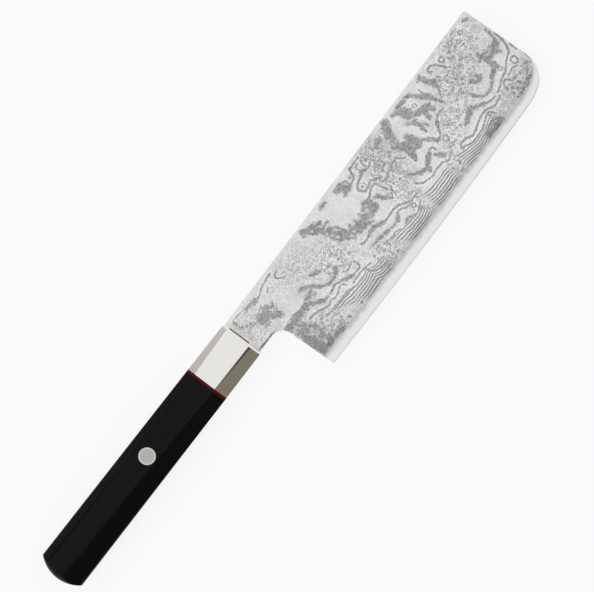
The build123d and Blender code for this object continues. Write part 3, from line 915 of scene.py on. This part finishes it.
@dataclass(frozen=True)
class ForgedPattern:
    """The blade's forged and ground pattern at some places.

    Each row of places is millimetres from the bolster's face and millimetres down from the spine.
    """

    places: np.ndarray
    farthest: float = 3.0  # mm, how far from a figure its distance still counts
    layer_pair: float = 1.3  # mm from one dark layer to the next
    levelling: float = 0.25  # how much of the crest's ups and downs the lowest lines lose
    crest_mean: float = 36.8
    crest_blur: float = 0.5  # mm above the crest where its first line begins to show
    weld_depth: float = 45.2
    run_fade: float = 3.2
    wander_size: float = 6.0
    wander: float = 0.55
    wander_seed: int = 1  # without one the noise starts from the clock and each run differs
    mirror_place: float = 196.0  # the far side's pattern runs the other way along the blade
    loose_rings: float = 0.12  # dents that lie outside the dented zones
    deepest_cloud: float = 0.6

    @classmethod
    def on_side(cls, side: Side, points: np.ndarray, face_x: float, spine_y: float) -> "ForgedPattern":
        """The pattern at some points, wandering a little as hammered steel does.

        Args:
            side: the face that the points are on.
            points: one row of x, y and z in metres for each point.
            face_x: x of the bolster's face in metres.
            spine_y: y of the spine in metres.

        Returns:
            The pattern at those points.
        """
        places = np.stack([points[:, 0] - face_x, spine_y - points[:, 1]], axis=1) / MM
        noise.seed_set(cls.wander_seed)
        for place in places:
            push = noise.noise_vector((*place / cls.wander_size, side.value))
            place += np.multiply(push[:2], cls.wander)
        if side is Side.FAR:
            places[:, 0] = cls.mirror_place - places[:, 0]
        return cls(places)

    def inside(self, folds: tuple[Fold, ...]) -> np.ndarray:
        """Measures how far each place lies inside the nearest of some folds.

        Args:
            folds: the layers that come to the surface.

        Returns:
            Millimetres for each place, below nothing outside the folds.
        """
        most = np.full(len(self.places), -self.farthest)
        for fold in folds:
            for start, end in zip(fold.spots, fold.spots[1:]):
                run = np.subtract(end[:2], start[:2])
                share = np.clip((self.places - start[:2]) @ run / (run @ run), 0, 1)
                gap = self.places - (start[:2] + share[:, None] * run)
                width = start[2] + share * (end[2] - start[2])
                most = np.maximum(most, width - np.hypot(*gap.T))
        return most

    def from_centre(self, ring: Ring) -> np.ndarray:
        """Distance in millimetres from each place to a ring's centre."""
        return np.hypot(*(self.places - ring.centre).T)

    def clouds(self, zones: tuple[Zone, ...]) -> np.ndarray:
        """Sum of some clouds' strengths at each place."""
        gaps = [(self.places - zone.centre) / zone.reach for zone in zones]
        return sum(zone.strength * np.exp(-(gap ** 2).sum(axis=1)) for zone, gap in zip(zones, gaps))

    def smears(self) -> np.ndarray:
        """How many millimetres each place lies inside the nearest mottled smear."""
        return self.inside(SMEARS)

    def patches(self) -> np.ndarray:
        """How many millimetres each place lies inside the nearest broad patch, outside its holes."""
        outside = [self.from_centre(hole) - hole.radius for hole in HOLES]
        return np.minimum.reduce([self.inside(PATCHES), *outside])

    def lines(self) -> np.ndarray:
        """How many millimetres each place lies inside the nearest line or ring."""
        rings = [ring.width - np.abs(self.from_centre(ring) - ring.radius) for ring in RINGS]
        return np.maximum.reduce([self.inside(LINES), *rings])

    def crest(self) -> np.ndarray:
        """Depth of the topmost parallel line at each place."""
        return np.interp(self.places[:, 0], *np.array(CREST, float).T)

    def layers(self) -> np.ndarray:
        """Counts the layers from the crest down to each place.

        Returns:
            Pairs of layers that the grind has cut through.
        """
        below = self.places[:, 1] - self.crest()
        into = np.clip(below / (self.weld_depth - self.crest()), 0, 1)
        return (below - self.levelling * into * (self.crest_mean - self.crest())) / self.layer_pair

    def stripes(self) -> np.ndarray:
        """Measures how clearly the parallel lines show at each place.

        Returns:
            From 0 to 1.
        """
        x, depth = self.places.T
        clear = np.zeros(len(x))
        for run in RUNS:
            start = run.start + run.lean * (depth - CREST[0][1])
            clear = np.maximum(clear, np.clip(np.minimum(x - start, run.end - x) / self.run_fade, 0, 1))
        return clear * np.clip(depth - self.crest() + self.crest_blur, 0, 1)

    def rings(self) -> np.ndarray:
        """How clearly the small dents show at each place."""
        return np.clip(self.clouds(DENTED) + self.loose_rings, 0, 1)

    def shade(self) -> np.ndarray:
        """How much darker the acid left the steel at each place, plus a painted dark reflection along the
        neck's lower edge.
        """
        return np.clip(self.clouds(CLOUDS), 0, self.deepest_cloud)


# Meshes


def merged_copy(node: str) -> Mesh:
    """A joined-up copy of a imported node's mesh.

    Args:
        node: the node's name.

    Returns:
        The copy, with the corners that its triangles share made one.
    """
    mesh = bmesh.new()
    mesh.from_mesh(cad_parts[node].data)
    bmesh.ops.remove_doubles(mesh, verts=mesh.verts, dist=WELD)
    bmesh.ops.dissolve_limit(mesh, angle_limit=math.radians(LEVEL), verts=mesh.verts, edges=mesh.edges)
    mesh.normal_update()
    return mesh


def cut_across(mesh: Mesh, faces: list, axis: int, step: float) -> list:
    """Cuts faces into strips of one width.

    Args:
        mesh: the mesh that holds the faces.
        faces: the faces to cut.
        axis: 0 to cut across x, 1 to cut across y.
        step: width of a strip in metres.

    Returns:
        All the faces that the cuts leave.
    """
    normal = Vector((axis == 0, axis == 1, 0))
    places = [corner.co[axis] for face in faces for corner in face.verts]
    if not places:
        return faces
    for count in range(math.floor(min(places) / step) + 1, math.ceil(max(places) / step)):
        edges = {edge for face in faces for edge in face.edges}
        corners = {corner for face in faces for corner in face.verts}
        cut = bmesh.ops.bisect_plane(
            mesh, geom=[*faces, *edges, *corners], dist=CUT_SLACK, plane_co=normal * count * step,
            plane_no=normal,
        )
        faces = [item for item in cut["geom"] if isinstance(item, bmesh.types.BMFace)]
    return faces


def finely_cut(mesh: Mesh, shown: Callable[[bmesh.types.BMFace], bool], step: float, block: float) -> Mesh:
    """Cuts the shown faces of a mesh into small squares, one block of its length at a time.

    Args:
        mesh: the whole shape, which is freed.
        shown: tells for a face whether it is to be cut.
        step: side of a square in metres.
        block: length of a block in metres.

    Returns:
        The same shape with the finer faces.
    """
    cut_across(mesh, list(mesh.faces), 0, block)
    whole = bmesh.new()
    numbers = {math.floor(face.calc_center_median().x / block) for face in mesh.faces}
    for number in sorted(numbers):
        part = mesh.copy()
        others = [face for face in part.faces if math.floor(face.calc_center_median().x / block) != number]
        bmesh.ops.delete(part, geom=others, context="FACES")
        faces = cut_across(part, [face for face in part.faces if shown(face)], 1, step)
        cut_across(part, faces, 0, step)
        data = bpy.data.meshes.new("block")
        part.to_mesh(data)
        part.free()
        whole.from_mesh(data)
        bpy.data.meshes.remove(data)
    mesh.free()
    bmesh.ops.remove_doubles(whole, verts=whole.verts, dist=WELD)
    return whole


def finished(name: str, mesh: Mesh, material: Material, smooth: float) -> Piece:
    """Turns a mesh into a piece at the origin.

    Args:
        name: the piece's name.
        mesh: its shape, which is freed.
        material: its finish.
        smooth: largest angle in degrees between faces that are shaded as one surface.

    Returns:
        The piece, in the scene.
    """
    bmesh.ops.triangulate(mesh, faces=[face for face in mesh.faces if len(face.verts) > MOST_CORNERS])
    data = bpy.data.meshes.new(name)
    mesh.to_mesh(data)
    mesh.free()
    data.shade_smooth()
    data.set_sharp_from_angle(angle=math.radians(smooth))
    data.materials.append(material)
    piece = bpy.data.objects.new(name, data)
    bpy.context.scene.collection.objects.link(piece)
    return piece


def rows(piece: Piece, name: str) -> np.ndarray:
    """Reads three numbers for each corner of the piece's mesh.

    Args:
        piece: the piece.
        name: what is read, "co" for the places in metres or "normal".

    Returns:
        One row for each corner.
    """
    values = np.zeros(len(piece.data.vertices) * 3)
    piece.data.vertices.foreach_get(name, values)
    return values.reshape(-1, 3)


def store(piece: Piece, name: str, values: np.ndarray) -> None:
    """Keeps one number for each corner of the piece's mesh under a name."""
    attribute = piece.data.attributes.new(name, "FLOAT", "POINT")
    attribute.data.foreach_set("value", values.astype(np.float32))


def stands_for(piece: Piece, node: str) -> None:
    """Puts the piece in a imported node's place.

    Args:
        piece: the finished piece.
        node: the node that it replaces.
    """
    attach(piece, BODY)
    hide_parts(node)
    LOG.info("%s stands for %s with %d faces", piece.name, node, len(piece.data.polygons))


def dress(node: str, material: Material) -> None:
    """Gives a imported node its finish.

    Args:
        node: the node's name.
        material: the finish.
    """
    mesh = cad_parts[node].data
    mesh.materials.clear()
    mesh.materials.append(material)
    LOG.info("%s has %s", node, material.name)


# Sub-assemblies


@dataclass
class Blade:
    """The core and its two claddings."""

    step: float = 0.35  # mm between the corners that carry the pattern
    block: float = 12.0  # mm of the blade that are cut at a time
    smooth: float = 20.0  # degrees between faces that are shaded as one surface
    face_tilt: float = 0.9  # how squarely a face looks out to count as the blade's side
    bevel_lean: float = 0.05  # least lean of the spine bevel towards the spine
    bevel_loss: float = 0.45  # share of the pattern's depth that the brightly ground bevel loses
    side_loss: float = 0.6  # and that the spine, heel and front lose

    def build(self) -> None:
        """Builds the patterned claddings and the bare core."""
        steel = DamascusSteel().material()
        for side in Side:
            self.cladding(side, steel)
        dress("blade_core", GroundCoreSteel().material())

    def cladding(self, side: Side, steel: Material) -> None:
        """Builds one cladding with its pattern on its mesh.

        Args:
            side: the blade's face that it covers.
            steel: the finish that draws the pattern.
        """
        node = f"cladding_{side.name.lower()}"
        face_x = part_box("bolster")[1].x
        mesh = merged_copy(node)
        cut_across(mesh, list(mesh.faces), 0, abs(face_x))

        def shown(face: bmesh.types.BMFace) -> bool:
            """Whether the face is a part of the blade's side that the bolster leaves free."""
            return face.normal.z * side.value > self.face_tilt and face.calc_center_median().x > face_x

        mesh = finely_cut(mesh, shown, self.step * MM, self.block * MM)
        piece = finished(f"damascus_{side.name.lower()}", mesh, steel, self.smooth)
        spine_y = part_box("cladding_near")[1].y
        pattern = ForgedPattern.on_side(side, rows(piece, "co"), face_x, spine_y)
        for measure in (
            pattern.smears, pattern.patches, pattern.lines, pattern.layers, pattern.stripes, pattern.rings,
            pattern.shade,
        ):
            store(piece, measure.__name__, measure())
        normals = rows(piece, "normal")
        ground = np.where(normals[:, 1] > self.bevel_lean, self.bevel_loss, 0.0)
        ground = np.where(np.abs(normals[:, 2]) < self.face_tilt, self.side_loss, ground)
        store(piece, "ground", ground)
        stands_for(piece, node)


@dataclass
class Handle:
    """Bolster, liner, wooden block and the epoxy inside."""

    bolster: Finish = PolishedNickelSilver()
    # Paper pressed hard in zinc chloride and dyed through, so it is a deep, dull red with hardly a gloss
    liner: Finish = MottledSolid(
        "red_vulcanised_fibre", "#591312", 0.5, sheen_level=0.06, dark="#430D0D", mottle_size=0.6
    )
    handle_block: Finish = LaminatedWood()
    # Two resins stirred, poured and cured, so it is a cloudy brown grey with a wet gloss
    tang_adhesive: Finish = MottledSolid("cast_epoxy", "#3B3833", 0.35, dark="#33302C", mottle_size=1.5)

    def build(self) -> None:
        """Dresses the pieces that the hand holds, which its fields are named after."""
        for field in fields(self):
            dress(field.name, getattr(self, field.name).material())


@dataclass
class Rivet:
    """The two halves of the rivet."""

    halves: tuple[str, str] = ("rivet_post", "rivet_sleeve")

    def build(self) -> None:
        """Dresses both halves in steel that is turned round their axis."""
        low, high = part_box(self.halves[0])
        steel = TurnedStainlessSteel(axis=((low.x + high.x) / 2, (low.y + high.y) / 2)).material()
        for half in self.halves:
            dress(half, steel)


# Studio


@dataclass
class Studio:
    """A pale floor in a white room with a soft lamp and two dark screens that give the metal its contrast.

    Directions are unit vectors: x runs along the knife towards the tip and y towards the spine.
    """

    floor_colour: str = "#FAFAFA"
    floor_shadow: float = 0.12  # share of the floor's look that takes the object's shadow
    floor_glow: float = 0.90  # the rest, so that the floor looks as white as its colour
    floor_size: float = 60.0  # metres, far past what any view shows
    room_colour: str = "#FFFFFF"
    room_strength: float = 1.0
    screen_width: float = 0.36  # sine of a screen's half width
    screen_blend: float = 0.5
    across_stops: tuple[tuple[float, str], ...] = (
        (-1.0, "#F1EEE8"), (-0.985, "#E0DCD4"), (-0.955, "#8C857A"), (-0.91, "#817B70"),
        (-0.85, "#3E3B37"), (-0.59, "#3E3B37"), (-0.51, "#F8F8F7"), (0.0, "#FFFFFF"), (0.80, "#F4F2EE"),
        (0.87, "#8E8A82"), (1.0, "#787469"),
    )
    along_stops: tuple[tuple[float, str], ...] = (
        (-1.0, "#F4F2EE"), (0.0, "#FFFFFF"), (0.72, "#F4F2EE"), (0.82, "#45433F"), (0.97, "#45433F"),
        (1.0, "#D8D4CC"),
    )
    lamp_energy: float = 0.55
    lamp_angle: float = 40.0
    lamp_tilt: tuple[float, float, float] = (-25.0, -20.0, 0.0)

    def build(self) -> None:
        """Builds the floor, the room and the lamp."""
        self.floor()
        self.room()
        lamp = bpy.data.lights.new("soft_lamp", "SUN")
        lamp.energy = self.lamp_energy
        lamp.angle = math.radians(self.lamp_angle)
        stand = bpy.data.objects.new("soft_lamp", lamp)
        stand.rotation_euler = [math.radians(angle) for angle in self.lamp_tilt]
        stand.visible_glossy = False
        bpy.context.scene.collection.objects.link(stand)

    def floor(self) -> None:
        """Builds the floor, which looks white to the camera and in the metal and keeps a soft shadow."""
        material = bpy.data.materials.new("pale_floor")
        nodes = Nodes(material)
        white = linear(self.floor_colour)
        dim = [channel * self.floor_shadow for channel in white[:3]] + [1.0]
        seen = nodes.add("LightPath").outputs
        direct = nodes.add("Math", [seen["Is Camera Ray"], seen["Is Glossy Ray"]], operation="MAXIMUM")
        direct = nodes.add("Math", [direct, seen["Is Transmission Ray"]], operation="MAXIMUM")
        glow = nodes.add("Emission", [white, self.floor_glow])
        bright = nodes.add("AddShader", [nodes.add("BsdfDiffuse", [dim]), glow])
        mixed = nodes.add("MixShader", [direct, nodes.add("BsdfDiffuse", [white]), bright])
        nodes.add("OutputMaterial", [mixed])
        mesh = bmesh.new()
        bmesh.ops.create_grid(mesh, x_segments=1, y_segments=1, size=self.floor_size / 2)
        finished("floor", mesh, material, smooth=0.0)

    def room(self) -> None:
        """Builds the light from all round, with a dark screen beyond the edge and one beyond the tip."""
        world = bpy.data.worlds.new("studio")
        nodes = Nodes(world)
        parts = nodes.add("SeparateXYZ", [nodes.add("TexCoord").outputs["Generated"]]).outputs
        light = white = linear(self.room_colour)
        for run, other, stops in (("Y", "X", self.across_stops), ("X", "Y", self.along_stops)):
            ramp = nodes.add("ValToRGB", [nodes.add("MapRange", [parts[run], -1.0])])
            elements = ramp.color_ramp.elements
            while len(elements) < len(stops):
                elements.new(1.0)
            for element, (position, colour) in zip(elements, stops):
                element.position = (position + 1) / 2
                element.color = linear(colour)
            aside = nodes.add("Math", [parts[other]], operation="ABSOLUTE")
            width = [aside, self.screen_width, self.screen_blend, 1.0, 0.0]
            width = nodes.add("MapRange", width, interpolation_type="SMOOTHSTEP")
            wall = {MIX_SHARE: width, MIX_FIRST: white, MIX_SECOND: ramp}
            wall = nodes.add("Mix", wall, data_type="RGBA").outputs[MIX_RESULT]
            light = {MIX_SHARE: 1.0, MIX_FIRST: light, MIX_SECOND: wall}
            light = nodes.add("Mix", light, data_type="RGBA", blend_type="MULTIPLY").outputs[MIX_RESULT]
        seen = nodes.add("LightPath").outputs["Is Camera Ray"]
        light = {MIX_SHARE: seen, MIX_FIRST: light, MIX_SECOND: linear(self.floor_colour)}
        light = nodes.add("Mix", light, data_type="RGBA").outputs[MIX_RESULT]
        nodes.add("OutputWorld", [nodes.add("Background", [light, self.room_strength])])
        bpy.context.scene.world = world


@dataclass
class PhotoCamera:
    """A long lens straight above the knife, turned as the picture shows it."""

    picture_width: int = 594
    picture_height: int = 592
    pixel: float = 0.4549  # mm at the level of the blade's near side
    origin_column: float = 295.8  # where the model's origin shows in the picture
    origin_row: float = 318.9
    knife_turn: float = 52.70  # degrees, from the picture's right to the blade's tip
    level: float = 9.0  # mm above the floor, where that scale holds
    distance: float = 2.4  # metres from there up to the camera
    sensor: float = 36.0  # mm
    far_limit: float = 200.0  # metres

    def build(self) -> None:
        """Places the camera and makes it the scene's."""
        scale = self.pixel * MM
        data = bpy.data.cameras.new("camera")
        data.sensor_width = self.sensor
        data.lens = self.sensor * self.distance / (self.picture_width * scale)
        data.clip_end = self.far_limit
        turn = math.radians(self.knife_turn)
        right = Vector((math.cos(turn), -math.sin(turn), 0))
        up = Vector((math.sin(turn), math.cos(turn), 0))
        centre = right * (self.picture_width / 2 - self.origin_column) * scale
        centre += up * (self.origin_row - self.picture_height / 2) * scale
        camera = bpy.data.objects.new("camera", data)
        camera.location = centre + Vector((0, 0, self.level * MM + self.distance))
        camera.rotation_euler = (0, 0, -turn)
        bpy.context.scene.collection.objects.link(camera)
        bpy.context.scene.camera = camera


def main() -> None:
    """Builds the camera, the knife's sub-assemblies and the studio."""
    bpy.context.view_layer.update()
    bpy.context.scene.view_settings.view_transform = "Standard"
    for part in (PhotoCamera(), Blade(), Handle(), Rivet(), Studio()):
        part.build()
        LOG.info("%s built", type(part).__name__)


if __name__ == "__main__":
    logging.basicConfig(level=logging.INFO, format="%(name)s: %(message)s")
    main()
